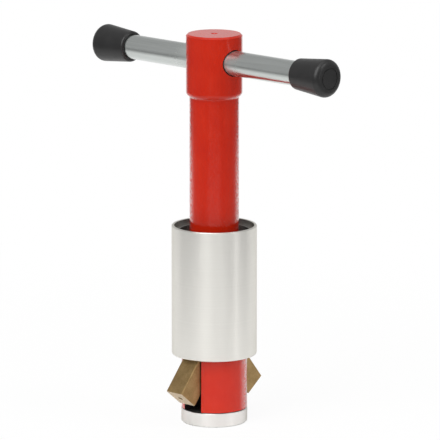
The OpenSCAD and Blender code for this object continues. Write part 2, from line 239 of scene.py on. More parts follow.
def draw(name, points):
    """Starts a piece in edit mode as one line, a vertex extruded from each point to the next."""
    bpy.ops.object.select_all(action='DESELECT')
    bpy.ops.mesh.primitive_plane_add(size=MM)
    piece = bpy.context.object
    piece.name = name
    bpy.ops.object.mode_set(mode='EDIT')
    bpy.ops.mesh.merge(type='CENTER')
    bpy.ops.transform.translate(value=Vector(points[0]) * MM)
    for here, there in zip(points, points[1:]):
        way = (Vector(there) - Vector(here)) * MM
        bpy.ops.mesh.extrude_vertices_move(TRANSFORM_OT_translate={"value": way})
    bpy.ops.mesh.select_all(action='SELECT')
    bpy.ops.mesh.remove_doubles(threshold=CLOSE)
    return piece


def close_up():
    """Merges what lies on top of each other, turns the faces outwards and leaves edit mode."""
    bpy.ops.mesh.select_all(action='SELECT')
    bpy.ops.mesh.remove_doubles(threshold=CLOSE)
    bpy.ops.mesh.normals_make_consistent(inside=False)
    bpy.ops.object.mode_set(mode='OBJECT')


def lathe(name, section, sides=SIDES):
    """A turned piece: its section, points of radius and height, is spun round Z."""
    piece = draw(name, [(r, 0, z) for r, z in section])
    bpy.ops.mesh.spin(steps=sides, angle=2 * pi, center=(0, 0, 0), axis=(0, 0, 1))
    close_up()
    return piece


def prism(name, outline, depth):
    """A flat outline, filled and extruded by depth."""
    piece = draw(name, [*outline, outline[0]])
    bpy.ops.mesh.edge_face_add()
    bpy.ops.mesh.extrude_region_move(TRANSFORM_OT_translate={"value": Vector(depth) * MM})
    close_up()
    return piece


def place(piece, at=(0, 0, 0), turn=(0, 0, 0)):
    """Turns and moves the piece, and puts its place into its mesh."""
    only(piece)
    piece.rotation_euler = turn
    piece.location = Vector(at) * MM
    bpy.ops.object.transform_apply(location=True, rotation=True, scale=True)
    return piece


def cut(piece, tool):
    """Takes the tool's shape out of the piece."""
    only(piece)
    bpy.ops.object.modifier_add(type='BOOLEAN')
    boolean = piece.modifiers[-1]
    boolean.operation = 'DIFFERENCE'
    boolean.solver = 'EXACT'
    boolean.object = tool
    bpy.ops.object.modifier_apply(modifier=boolean.name)
    bpy.ops.object.mode_set(mode='EDIT')
    close_up()
    only(tool)
    bpy.ops.object.delete()


def copy_of(piece, name):
    """A copy of the piece with its own mesh."""
    only(piece)
    bpy.ops.object.duplicate()
    bpy.context.object.name = name
    return bpy.context.object


def dress(piece, material, body, node):
    """Smooths the piece, gives it its finish, and puts it on its body in place of the CAD node."""
    only(piece)
    bpy.ops.object.shade_smooth_by_angle(angle=CREASE)
    bpy.ops.object.modifier_add(type='WEIGHTED_NORMAL')
    piece.modifiers[-1].keep_sharp = True
    bpy.ops.object.modifier_apply(modifier=piece.modifiers[-1].name)
    piece.data.materials.clear()
    piece.data.materials.append(material)
    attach(piece, body)
    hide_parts(node)


# Finishes: sockets of the mixing node, which go by number
MIX_FACTOR = 0
MIX_VALUES = (2, 3)
MIX_COLOURS = (6, 7)
MIXED_VALUE = 0
MIXED_COLOUR = 2

# Where finishes and painted shade change, in millimetres from the face or edge that they go by
# Edges of the painted shade in the head's slot, past its walls and its top
SLOT_WALL_PAST = 0.03
SLOT_WALL_FADE = 0.02
SLOT_TOP_PAST = 0.05
# The bar's hole is dark with painted shade out to these distances past its wall
BAR_HOLE_SHADE_FULL = 0.06
BAR_HOLE_SHADE_ENDS = 0.12
# Painted shade inside the sleeve fades out between these distances past the rim's inner wall
BORE_SHADE_FULL = 0.02
BORE_SHADE_ENDS = 0.1
# Where the jaw's end face turns paler, before the end
JAW_END_STARTS = 0.25
JAW_END_FULL = 0.05
SCUFF_STARTS = 11
SCUFF_FULL = 1
HUB_SHEEN_ABOVE = 2
SHAFT_SHEEN_BELOW = 4

# The coat's sheen: how far a face turns away for all of it, which faces count as upright, its share on the hub,
# and the heights of the peel between which its speckles fade in
SHEEN_FULL = 0.6
UPRIGHT = 0.6
HUB_SHEEN = 0.4
SPECKLE_LOW = 0.4
SPECKLE_HIGH = 0.53

# Painted shade: the dark colour and roughness in the head's slot, along its foot and in the bar's hole
SHADE_TONE = (0.012, 0.008, 0.008)
SHADE_ROUGHNESS = 0.7
# Painted shade inside the sleeve's rim and bore
BORE_SHADE_TONE = (0.42, 0.41, 0.395)
# Paler tone of the jaw's end face
JAW_END_TONE = (0.645, 0.535, 0.375)
SCUFF_ROUGHNESS = 0.16


def feed(tree, node, inputs):
    """Gives a node's inputs plain values or other nodes' outputs."""
    for socket, value in inputs.items():
        if isinstance(value, bpy.types.NodeSocket):
            tree.links.new(value, node.inputs[socket])
        else:
            node.inputs[socket].default_value = value


def add(tree, kind, inputs=None, **settings):
    """A node of that kind, with its settings and its inputs."""
    made = tree.nodes.new(kind)
    for name, value in settings.items():
        setattr(made, name, value)
    feed(tree, made, inputs or {})
    return made


def maths(tree, operation, *values):
    """The result of a sum on numbers."""
    return add(tree, 'ShaderNodeMath', dict(enumerate(values)), operation=operation).outputs[0]


def vectors(tree, operation, *values):
    """The result of a sum on places or directions: a number for a length or a dot product, else a vector."""
    made = add(tree, 'ShaderNodeVectorMath', dict(enumerate(values)), operation=operation)
    return made.outputs["Value" if operation in ('LENGTH', 'DOT_PRODUCT') else "Vector"]


def remap(tree, value, start, end, low=0.0, high=1.0, smooth=False):
    """Goes from low to high while the value goes from start to end, and stays there."""
    made = add(tree, 'ShaderNodeMapRange',
               {"Value": value, "From Min": start, "From Max": end, "To Min": low, "To Max": high},
               interpolation_type='SMOOTHSTEP' if smooth else 'LINEAR')
    return made.outputs["Result"]


def split(tree, spot):
    """The X, Y and Z of a place."""
    return add(tree, 'ShaderNodeSeparateXYZ', {"Vector": spot}).outputs


def from_axis(tree, spot):
    """A place's distance from the Z axis."""
    return vectors(tree, 'LENGTH', vectors(tree, 'MULTIPLY', spot, (1, 1, 0)))


def opaque(colour):
    """A plain colour with its cover, or another node's output as it is."""
    return colour if isinstance(colour, bpy.types.NodeSocket) else (*colour, 1)


def blend_colours(tree, factor, first, second):
    """Colour between two, by a factor from 0 to 1."""
    inputs = {MIX_FACTOR: factor, MIX_COLOURS[0]: opaque(first), MIX_COLOURS[1]: opaque(second)}
    return add(tree, 'ShaderNodeMix', inputs, data_type='RGBA').outputs[MIXED_COLOUR]


def group(name, inputs, outputs):
    """An empty node group with a Vector input for the place on the piece, and named values in and out."""
    made = bpy.data.node_groups.new(name, 'ShaderNodeTree')
    made.interface.new_socket(name="Vector", in_out='INPUT', socket_type='NodeSocketVector')
    for label, value in inputs.items():
        socket = made.interface.new_socket(name=label, in_out='INPUT', socket_type='NodeSocketFloat')
        socket.default_value = value
    for label in outputs:
        made.interface.new_socket(name=label, in_out='OUTPUT', socket_type='NodeSocketFloat')
    return made, made.nodes.new('NodeGroupInput').outputs, made.nodes.new('NodeGroupOutput').inputs


def make_mottle():
    """Soft cloudy unevenness, 0 to 1, for tone and gloss."""
    tree, given, out = group("mottle", {"Scale": 60.0, "Low": 0.0, "High": 1.0}, ["Value"])
    clouds = add(tree, 'ShaderNodeTexNoise', {"Vector": given["Vector"], "Scale": given["Scale"], "Detail": 4.0})
    spread = remap(tree, clouds.outputs["Fac"], 0.3, 0.7, low=given["Low"], high=given["High"])
    tree.links.new(spread, out["Value"])
    return tree


def make_orange_peel():
    """Rounded bumps of sprayed and baked paint."""
    tree, given, out = group("orange_peel", {"Scale": 800.0}, ["Height"])
    bumps = add(tree, 'ShaderNodeTexNoise',
                {"Vector": given["Vector"], "Scale": given["Scale"], "Detail": 1.0, "Roughness": 0.4})
    tree.links.new(bumps.outputs["Fac"], out["Height"])
    return tree


def make_turning_rings():
    """Fine rings that a lathe tool leaves, up a wall and across a face alike, and broader streaks of them."""
    tree, given, out = group("turning_rings", {"Rings per metre": 4000.0}, ["Groove", "Streak"])
    spot = given["Vector"]
    along = maths(tree, 'ADD', split(tree, spot)["Z"], from_axis(tree, spot))
    rings = maths(tree, 'MULTIPLY', along, given["Rings per metre"])
    for label, scale in (("Groove", 1.0), ("Streak", 0.12)):
        lines = add(tree, 'ShaderNodeTexNoise', {"W": rings, "Scale": scale, "Detail": 2.0}, noise_dimensions='1D')
        tree.links.new(lines.outputs["Fac"], out[label])
    return tree


MOTTLE = make_mottle()
ORANGE_PEEL = make_orange_peel()
TURNING_RINGS = make_turning_rings()


def use(tree, node_group, inputs):
    """The outputs of a group's node placed in a material with its own values."""
    return add(tree, 'ShaderNodeGroup', inputs, node_tree=node_group).outputs


def mottle(tree, spot, scale, low=0.0, high=1.0):
    """Cloudy unevenness between two values."""
    return use(tree, MOTTLE, {"Vector": spot, "Scale": scale, "Low": low, "High": high})["Value"]


def new_finish(name, metallic):
    """A material with only its shader, and the Object coordinates that its patterns read."""
    made = bpy.data.materials.new(name)
    made.use_nodes = True
    tree = made.node_tree
    shader = tree.nodes["Principled BSDF"]
    feed(tree, shader, {"Metallic": metallic})
    return made, tree, shader, add(tree, 'ShaderNodeTexCoord').outputs["Object"]


def raise_bumps(tree, shader, height, distance, strength):
    """Feeds a height to the shader's normal."""
    bump = add(tree, 'ShaderNodeBump', {"Height": height, "Distance": distance, "Strength": strength})
    feed(tree, shader, {"Normal": bump.outputs["Normal"]})


def shade_in_slot(tree, spot):
    """1 where painted shade goes: inside the head's slot, and on its foot chamfer as a dark line; 0 elsewhere."""
    parts = split(tree, spot)
    wall = (SLOT_HALF + SLOT_WALL_PAST) * MM
    inside = remap(tree, maths(tree, 'ABSOLUTE', parts["X"]), wall + SLOT_WALL_FADE * MM, wall)
    under = maths(tree, 'LESS_THAN', parts["Z"], (SLOT_TOP + SLOT_TOP_PAST) * MM)
    foot = maths(tree, 'LESS_THAN', parts["Z"], (DISC_TOP + HEAD_FOOT) * MM)
    return maths(tree, 'MAXIMUM', maths(tree, 'MULTIPLY', inside, under), foot)


def shade_in_bar_hole(tree, spot):
    """1 on the wall of the bar's hole, where painted shade darkens the gap round the bar, 0 elsewhere."""
    level = vectors(tree, 'SUBTRACT', spot, (0, 0, BAR_Z * MM))
    reach = vectors(tree, 'LENGTH', vectors(tree, 'MULTIPLY', level, (0, 1, 1)))
    return remap(tree, reach, (BAR_HOLE_R + BAR_HOLE_SHADE_ENDS) * MM, (BAR_HOLE_R + BAR_HOLE_SHADE_FULL) * MM)


def make_red_coat(name, darker, lighter, shade_spots, sheen_start, sheen_gaps):
    """Powder coat, darkened with painted shade where the given mask says, with a speckled sheen where upright
    faces turn away.
    """
    made, tree, shader, spot = new_finish(name, 0)
    painted_shade = shade_spots(tree, spot)
    coat = blend_colours(tree, mottle(tree, spot, 90.0), darker, lighter)
    gloss = mottle(tree, spot, 300.0, low=0.1, high=0.16)
    peel = use(tree, ORANGE_PEEL, {"Vector": spot, "Scale": 950.0})["Height"]
    raise_bumps(tree, shader, peel, distance=0.00012, strength=0.6)

    slant = add(tree, 'ShaderNodeLayerWeight', {"Blend": 0.5}).outputs["Facing"]
    flank = remap(tree, slant, sheen_start, SHEEN_FULL)
    facing = split(tree, add(tree, 'ShaderNodeNewGeometry').outputs["True Normal"])
    upright = maths(tree, 'LESS_THAN', facing["Z"], UPRIGHT)
    below_hub = remap(tree, split(tree, spot)["Z"], (HUB_Z + HUB_SHEEN_ABOVE) * MM,
                      (HUB_Z - SHAFT_SHEEN_BELOW) * MM, low=HUB_SHEEN)
    speckle = remap(tree, peel, SPECKLE_LOW, SPECKLE_HIGH, low=sheen_gaps)
    side_sheen = maths(tree, 'MULTIPLY', maths(tree, 'MULTIPLY', flank, upright), below_hub)

    # The base colour goes to the dark of painted shade where the mask is 1.
    feed(tree, shader, {"Base Color": blend_colours(tree, painted_shade, coat, SHADE_TONE),
                        "Roughness": remap(tree, painted_shade, 0.0, 1.0, low=gloss, high=SHADE_ROUGHNESS),
                        "Coat Weight": maths(tree, 'MULTIPLY', side_sheen, speckle),
                        "Coat Roughness": 0.12, "Coat IOR": 2.4, "Specular IOR Level": 0.36})
    return made


def make_turned_aluminium(name, dark, light, bore):
    """Turned metal, bright outside and darkened with painted shade within the bore's radius."""
    made, tree, shader, spot = new_finish(name, 1)
    rings = use(tree, TURNING_RINGS, {"Vector": spot, "Rings per metre": 9000.0})
    bright = blend_colours(tree, rings["Streak"], dark, light)
    # Painted shade: the colour goes dark within the rim's inner radius.
    inner = remap(tree, from_axis(tree, spot), (bore + BORE_SHADE_ENDS) * MM, (bore + BORE_SHADE_FULL) * MM)
    feed(tree, shader, {"Base Color": blend_colours(tree, inner, bright, BORE_SHADE_TONE),
                        "Roughness": mottle(tree, spot, 70.0, low=0.28, high=0.33),
                        "Anisotropic": 0.6, "Anisotropic Rotation": 0.25, "Specular Tint": (0.78, 0.77, 0.74, 1)})
    raise_bumps(tree, shader, rings["Groove"], distance=0.000006, strength=0.25)
    return made


def make_jaw_bronze():
    """Dull drawn bronze, paler on the jaw's end face."""
    made, tree, shader, spot = new_finish("drawn_bronze", 1)
    clouds = mottle(tree, spot, 260.0)
    grain = mottle(tree, spot, 1400.0, low=0.2, high=0.8)
    mixed = add(tree, 'ShaderNodeMix', {MIX_FACTOR: 0.5, MIX_VALUES[0]: clouds, MIX_VALUES[1]: grain})
    uneven = mixed.outputs[MIXED_VALUE]
    dull = blend_colours(tree, uneven, (0.25, 0.162, 0.067), (0.47, 0.322, 0.148))
    folded = vectors(tree, 'ABSOLUTE', spot)
    down = vectors(tree, 'DOT_PRODUCT', folded, (0, sin(JAW_OPEN), -cos(JAW_OPEN)))
    end = JAW_LEN + PIVOT_Y * sin(JAW_OPEN) - PIVOT_Z * cos(JAW_OPEN)
    pale_end = remap(tree, down, (end - JAW_END_STARTS) * MM, (end - JAW_END_FULL) * MM)
    feed(tree, shader, {"Base Color": blend_colours(tree, pale_end, dull, JAW_END_TONE),
                        "Roughness": mottle(tree, spot, 500.0, low=0.36, high=0.48)})
    raise_bumps(tree, shader, uneven, distance=0.00004, strength=0.4)
    return made


def make_chrome():
    """Plated drawn bar, with faint lines along it, scuffed where it slides through the hub."""
    made, tree, shader, spot = new_finish("polished_chrome", 1)
    stretched = add(tree, 'ShaderNodeMapping', {"Vector": spot, "Scale": (0.03, 1, 1)}).outputs[0]
    lines = mottle(tree, stretched, 1100.0)
    gloss = mottle(tree, stretched, 700.0, low=0.17, high=0.25)
    aside = maths(tree, 'ABSOLUTE', split(tree, spot)["X"])
    scuffed = remap(tree, aside, (HUB_R + SCUFF_STARTS) * MM, (HUB_R - SCUFF_FULL) * MM,
                    high=SCUFF_ROUGHNESS, smooth=True)
    feed(tree, shader, {"Base Color": blend_colours(tree, lines, (0.575, 0.605, 0.59), (0.665, 0.695, 0.68)),
                        "Roughness": maths(tree, 'ADD', gloss, scuffed)})
    return made


def two_tone(name, metallic, tones, tone_scale, gloss, gloss_scale):
    """A finish that is mottled between two colours and between two roughnesses."""
    made, tree, shader, spot = new_finish(name, metallic)
    feed(tree, shader, {"Base Color": blend_colours(tree, mottle(tree, spot, tone_scale), *tones),
                        "Roughness": mottle(tree, spot, gloss_scale, *gloss)})
    return made, tree, shader, spot


def make_cap_rubber():
    """Satin black rubber with a fine moulded grain."""
    made, tree, shader, spot = two_tone("satin_rubber", 0, ((0.0085, 0.0083, 0.0085), (0.013, 0.0127, 0.013)),
                                        tone_scale=120.0, gloss=(0.33, 0.42), gloss_scale=350.0)
    grain = use(tree, ORANGE_PEEL, {"Vector": spot, "Scale": 2500.0})
    raise_bumps(tree, shader, grain["Height"], distance=0.00002, strength=0.3)
    return made


def make_steel(name, tones, gloss):
    """Plain steel of the small inner pieces."""
    return two_tone(name, 1, tones, tone_scale=300.0, gloss=gloss, gloss_scale=600.0)[0]


def make_bush_plastic():
    """Dull black plastic of the sleeve's bush."""
    return two_tone("moulded_bush", 0, ((0.022, 0.022, 0.022), (0.03, 0.03, 0.03)),
                    tone_scale=200.0, gloss=(0.45, 0.6), gloss_scale=500.0)[0]


# The spindle's coat paints the shade of the gap round the bar into the bar's hole.
RED_COAT = make_red_coat("red_powder_coat", (0.515, 0.0155, 0.0035), (0.56, 0.0205, 0.0045),
                         shade_in_bar_hole, sheen_start=0.44, sheen_gaps=0.1)
# The head's coat paints shade dark inside its slot and along its foot.
SLOTTED_COAT = make_red_coat("red_powder_coat_slotted", (0.575, 0.0175, 0.004), (0.62, 0.022, 0.005),
                             shade_in_slot, sheen_start=0.38, sheen_gaps=0.4)
ALUMINIUM = make_turned_aluminium("turned_aluminium_finish", (0.885, 0.88, 0.855), (0.915, 0.91, 0.89), bore=0)
# The sleeve's finish paints shade inside its rim and bore.
BORED_ALUMINIUM = make_turned_aluminium("bored_aluminium_finish", (0.835, 0.82, 0.775), (0.865, 0.85, 0.805),
                                        bore=RIM_R)
BRONZE = make_jaw_bronze()
CHROME = make_chrome()
RUBBER = make_cap_rubber()
BRIGHT_STEEL = make_steel("ground_steel", ((0.50, 0.50, 0.50), (0.60, 0.60, 0.59)), (0.22, 0.36))
BLACK_STEEL = make_steel("black_oxide_steel", ((0.05, 0.05, 0.055), (0.08, 0.08, 0.085)), (0.35, 0.5))
BUSH_PLASTIC = make_bush_plastic()


# Pieces
def make_spindle():
    """Shaft and hub in one, with the head's socket, the bar's hole and the set screw's hole."""
    ease = tan(pi / 8)
    shaft_end = HUB_Z - HUB_FILLET * ease
    wall_start = HUB_Z + HUB_R - SHAFT_R + HUB_ROUND * ease
    section = [(0, SOCKET_TOP), (SOCKET_R, SOCKET_TOP), (SOCKET_R, HEAD_TOP)]
    section += steps_up(SHAFT_R, HEAD_TOP, shaft_end, SHAFT_ROWS)
    section += rounded((SHAFT_R + HUB_FILLET, shaft_end), HUB_FILLET, 180, 135)
    section += rounded((HUB_R - HUB_ROUND, wall_start), HUB_ROUND, 315, 360)
    section += steps_up(HUB_R, wall_start, TOP_Z - HUB_CHAMFER, HUB_ROWS)
    section += [(HUB_R - HUB_CHAMFER, TOP_Z), (MARK_R, TOP_Z), (0, TOP_Z - MARK_DEEP)]
    piece = lathe("coated_spindle", section)

    # The bar's hole widens in a curve at both mouths.
    reach = HUB_R + PAST
    flare = [(BAR_HOLE_R, 0)]
    flare += [(BAR_HOLE_R + BAR_MOUTH * t * t, HUB_R - 2 * BAR_MOUTH * (1 - t)) for t in (0, 0.25, 0.5, 0.75, 1)]
    flare += [(BAR_HOLE_R + BAR_MOUTH * 2, reach)]
    bobbin = [(0, -reach)] + [(r, -x) for r, x in reversed(flare)] + flare[1:] + [(0, reach)]
    cut(piece, place(lathe("hole_tool", bobbin, BAR_HOLE_SIDES), (0, 0, BAR_Z), ALONG_X))
    drill = rod(SET_SCREW_R, SET_SCREW_FROM, SHAFT_R + PAST)
    cut(piece, place(lathe("hole_tool", drill, HOLE_SIDES), (0, 0, SET_SCREW_Z), ALONG_X))
    dress(piece, RED_COAT, "frame", "spindle")


def make_head():
    """Slotted head with its stud, the spring's bore, and the holes for the pins and the disc's screws."""
    section = [(STEM_HOLE_R, DISC_TOP), (HEAD_R - HEAD_FOOT, DISC_TOP)]
    section += steps_up(HEAD_R, DISC_TOP + HEAD_FOOT, HEAD_TOP - HEAD_CHAMFER, HEAD_ROWS)
    section += [(HEAD_R - HEAD_CHAMFER, HEAD_TOP), (STUD_R, HEAD_TOP), (STUD_R, STUD_TOP - STUD_CHAMFER)]
    section += [(STUD_R - STUD_CHAMFER, STUD_TOP), (BORE_R, STUD_TOP), (BORE_R, BORE_FLOOR)]
    section += [(STEM_HOLE_R, BORE_FLOOR), (STEM_HOLE_R, DISC_TOP)]
    piece = lathe("coated_head", section)

    # The slot's mouths are rounded, so its plan widens where it leaves the head.
    far = HEAD_R + PAST
    below = DISC_TOP - JUST_PAST
    mouth_y = sqrt(HEAD_R ** 2 - SLOT_HALF ** 2)
    corner = rounded((SLOT_HALF + SLOT_EASE, mouth_y - SLOT_EASE), SLOT_EASE, 180, 90, steps=4)
    side = corner + [(SLOT_HALF + 2 * SLOT_EASE, mouth_y), (SLOT_HALF + 2 * SLOT_EASE, far)]
    plan = side + [(-x, y) for x, y in reversed(side)]
    plan = plan + [(-x, -y) for x, y in plan]
    cut(piece, prism("slot_tool", [(x, y, below) for x, y in plan], (0, 0, SLOT_TOP - below)))

    for y in (-PIVOT_Y, PIVOT_Y):
        drill = rod(PIN_R + PRESS_ROOM, -far, far)
        cut(piece, place(lathe("hole_tool", drill, HOLE_SIDES), (0, y, PIVOT_Z), ALONG_X))
    for x in (-SCREW_X, SCREW_X):
        drill = [(0, below), (SCREW_R + PRESS_ROOM, below), (SCREW_R + PRESS_ROOM, SCREW_TOP + SCREW_ROOM),
                 (0, SCREW_TOP + 2 * SCREW_ROOM)]
        cut(piece, place(lathe("hole_tool", drill, HOLE_SIDES), (x, 0, 0)))
    dress(piece, SLOTTED_COAT, "frame", "jaw_head")


def make_disc():
    """Foot disc with two countersunk holes."""
    section = [(0, 0), (DISC_R - DISC_CHAMFER, 0), (DISC_R, DISC_CHAMFER), (DISC_R, DISC_TOP - DISC_BREAK),
               (DISC_R - DISC_BREAK, DISC_TOP), (0, DISC_TOP)]
    piece = lathe("turned_foot_disc", section)
    hole_r = SCREW_R + SCREW_ROOM
    deep = SCREW_SINK_R - SCREW_R - SCREW_ROOM
    for x in (-SCREW_X, SCREW_X):
        sink = [(0, -JUST_PAST), (SCREW_SINK_R + JUST_PAST, -JUST_PAST), (hole_r, deep),
                (hole_r, DISC_TOP + JUST_PAST), (0, DISC_TOP + JUST_PAST)]
        cut(piece, place(lathe("hole_tool", sink, WIDE_HOLE_SIDES), (x, 0, 0)))
    dress(piece, ALUMINIUM, "frame", "pilot_disc")


def jaw_outline():
    """Side view of a jaw about its pivot: outwards, then up."""
    lean = degrees(JAW_OPEN)
    facet_up = (JAW_STOP_R - JAW_HALF_T * sin(JAW_OPEN)) / cos(JAW_OPEN)
    notch_far = NOTCH_UP * sin(JAW_OPEN) - NOTCH_N * cos(JAW_OPEN)
    crown_start = 90 - lean + degrees(acos(JAW_STOP_R / JAW_CROWN_R))
    crown_end = 180 - lean - degrees(acos(notch_far / JAW_CROWN_R))
    outline = [(-JAW_HALF_T, -JAW_LEN), (JAW_HALF_T, -JAW_LEN), (JAW_HALF_T, facet_up)]
    outline += rounded((0, 0), JAW_CROWN_R, crown_start, crown_end, steps=10)
    outline += [(NOTCH_N, NOTCH_UP), (NOTCH_N, LEDGE_UP), (LEDGE_CORNER - JAW_HALF_T, LEDGE_UP),
                (-JAW_HALF_T, LEDGE_UP - LEDGE_CORNER)]
    return outline


def make_jaws():
    """Both jaws, swung open: the rear one, and the front one as its copy."""
    outline = [(-JAW_HALF_W, n, h) for n, h in jaw_outline()]
    piece = prism("rear_bronze_jaw", outline, (2 * JAW_HALF_W, 0, 0))
    only(piece)
    bpy.ops.object.modifier_add(type='BEVEL')
    bevel = piece.modifiers[-1]
    bevel.width = JAW_EDGE * MM
    bevel.segments = JAW_EDGE_STEPS
    bevel.limit_method = 'ANGLE'
    bevel.angle_limit = CREASE
    bpy.ops.object.modifier_apply(modifier=bevel.name)

    far = JAW_HALF_W + JUST_PAST
    cut(piece, place(lathe("hole_tool", rod(PIN_R + RUN_ROOM, -far, far), WIDE_HOLE_SIDES), turn=ALONG_X))
    end = -JAW_LEN
    mouth_r = JAW_HOLE_R + JAW_HOLE_SINK
    hole_floor = end + JAW_HOLE_DEEP
    drill = [(0, end - JUST_PAST), (mouth_r, end - JUST_PAST), (mouth_r, end), (JAW_HOLE_R, end + JAW_HOLE_SINK),
             (JAW_HOLE_R, hole_floor), (0, hole_floor + JAW_HOLE_TIP)]
    cut(piece, lathe("hole_tool", drill, HOLE_SIDES))

    place(piece, (0, PIVOT_Y, PIVOT_Z), (JAW_OPEN, 0, 0))
    front = place(copy_of(piece, "front_bronze_jaw"), turn=HALF_TURN)
    dress(piece, BRONZE, "rear_jaw", "rear_jaw")
    dress(front, BRONZE, "front_jaw", "front_jaw")


def make_sleeve():
    """Sleeve with a thin rim at its top and a seat for the bush."""
    low, top, ease = SLEEVE_LOW.z, SLEEVE_HIGH.z, SLEEVE_EASE
    section = [(SLEEVE_BORE_R, low + ease), (SLEEVE_BORE_R + ease, low)]
    section += rounded((SLEEVE_R - SLEEVE_ROUND, low + SLEEVE_ROUND), SLEEVE_ROUND, 270, 360, steps=8)
    section += [(SLEEVE_R, top - SLEEVE_BREAK), (SLEEVE_R - SLEEVE_BREAK, top), (RIM_R + ease, top),
                (RIM_R, top - ease), (RIM_R, RIM_Z), (BUSH_SEAT_R + ease, RIM_Z), (BUSH_SEAT_R, RIM_Z - ease),
                (BUSH_SEAT_R, BUSH_LOW.z), (SLEEVE_BORE_R, BUSH_LOW.z), (SLEEVE_BORE_R, low + ease)]
    piece = lathe("turned_sleeve", section, SLEEVE_SIDES)
    dress(piece, BORED_ALUMINIUM, "sleeve", "guide_sleeve")


def make_bar():
    """Round bar with chamfered ends."""
    section = [(0, -BAR_HALF), (BAR_R - BAR_CHAMFER, -BAR_HALF), (BAR_R, -BAR_HALF + BAR_CHAMFER),
               (BAR_R, BAR_HALF - BAR_CHAMFER), (BAR_R - BAR_CHAMFER, BAR_HALF), (0, BAR_HALF)]
    piece = place(lathe("chromed_bar", section), (0, 0, BAR_Z), ALONG_X)
    dress(piece, CHROME, "handle", "cross_bar")


def make_caps():
    """Both caps, wider at their ends, with a plain ring sunk in each: the right one, and the left as its copy."""
    ring_floor = CAP_LEN - CAP_RING_DEEP
    ring_out = CAP_RING_R + CAP_RING_W
    section = [(0, CAP_GRIP), (CAP_HOLE_R, CAP_GRIP), (CAP_HOLE_R, CAP_HOLE_BREAK),
               (CAP_HOLE_R + CAP_HOLE_BREAK, 0)]
    section += rounded((CAP_MOUTH_R - CAP_LIP, CAP_LIP), CAP_LIP, 270, 360 - CAP_SLOPE, steps=8)
    section += rounded((CAP_END_R - CAP_EDGE, CAP_LEN - CAP_EDGE), CAP_EDGE, -CAP_SLOPE, 90, steps=12)
    section += [(ring_out, CAP_LEN), (ring_out - CAP_RING_SLOPE, ring_floor),
                (CAP_RING_R + CAP_RING_SLOPE, ring_floor), (CAP_RING_R, CAP_LEN), (0, CAP_LEN)]
    right = place(lathe("right_rubber_cap", section), (CAP_LOW.x, 0, BAR_Z), ALONG_X)
    left = place(copy_of(right, "left_rubber_cap"), turn=HALF_TURN)
    dress(right, RUBBER, "handle", "right_cap")
    dress(left, RUBBER, "handle", "left_cap")


def make_plunger():
    """Ball-nosed plunger with the flange that the spring sits on."""
    low, top, edge = PLUNGER_LOW.z, PLUNGER_HIGH.z, PLUNGER_EDGE
    section = rounded((0, low + NOSE_R), NOSE_R, -90, 0, steps=12)
    section += [(NOSE_R, FLANGE_Z), (FLANGE_R - edge, FLANGE_Z), (FLANGE_R, FLANGE_Z + edge),
                (FLANGE_R, FLANGE_TOP - edge), (FLANGE_R - edge, FLANGE_TOP), (STUB_R, FLANGE_TOP),
                (STUB_R, top - edge), (STUB_R - edge, top), (0, top)]
    piece = lathe("ground_plunger", section, PLUNGER_SIDES)
    dress(piece, BRIGHT_STEEL, "plunger", "plunger")


def make_spring():
    """Coil of round wire at its rest length; on the tool it shortens under its upper seat as the plunger rises."""
    bpy.ops.object.select_all(action='DESELECT')
    bpy.ops.mesh.primitive_circle_add(vertices=WIRE_SIDES, radius=WIRE_R * MM,
                                      location=(COIL_R * MM, 0, COIL_LOW * MM), rotation=(pi / 2, 0, 0))
    piece = bpy.context.object
    piece.name = "coil_spring"
    bpy.ops.object.transform_apply(location=True, rotation=True, scale=True)
    bpy.ops.object.modifier_add(type='SCREW')
    coil = piece.modifiers[-1]
    coil.screw_offset = COIL_PITCH * MM
    coil.iterations = COIL_TURNS
    coil.steps = COIL_STEPS
    coil.render_steps = COIL_STEPS
    bpy.ops.object.modifier_apply(modifier=coil.name)
    bpy.ops.object.mode_set(mode='EDIT')
    bpy.ops.mesh.select_all(action='SELECT')
    bpy.ops.mesh.fill_holes(sides=0)
    close_up()
    dress(piece, BRIGHT_STEEL, "frame", "jaw_spring")
    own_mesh(piece)


make_spindle()
make_head()
make_disc()
make_jaws()
make_sleeve()
make_bar()
make_caps()
make_plunger()
make_spring()

# These stay as their solids and only get a finish.
for node, finish in {"front_pivot_pin": BRIGHT_STEEL, "rear_pivot_pin": BRIGHT_STEEL,
                     "head_set_screw": BLACK_STEEL, "disc_screws": BLACK_STEEL,
                     "sleeve_bush": BUSH_PLASTIC}.items():
    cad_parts[node].material_slots[0].material = finish


# Camera, floor and light, in metres
CAMERA_TURN = radians(44.356)
CAMERA_RISE = radians(11.507)
CAMERA_FAR = 2.2
CAMERA_LENS = 404.8
CAMERA_SENSOR = 36
AIM_UP = 0.091507
AIM_RIGHT = 0.002552
LAMP_AIM = (0, 0, 0.09)
FLOOR_SIZE = 3
FLOOR_DROP = 0.05 * MM
PAPER_FRONT = (0.92, 0.92, 0.915)
PAPER_BACK = (0.94, 0.94, 0.935)
SIDE_GREY = (0.30, 0.30, 0.30)
END_GREY = (0.20, 0.20, 0.20)
SIDE_SPREAD = 0.8
WING_SPREAD = 0.6
WHITE = (1, 1, 1, 1)


def way_to(turn, rise):
    """The direction of a spot by its angle round the tool and its height angle."""
    return Vector((sin(turn) * cos(rise), -cos(turn) * cos(rise), sin(rise)))


TO_CAMERA = way_to(CAMERA_TURN, CAMERA_RISE)
TO_RIGHT = Vector((cos(CAMERA_TURN), sin(CAMERA_TURN), 0))
BACK = (-sin(CAMERA_TURN), cos(CAMERA_TURN), 0)

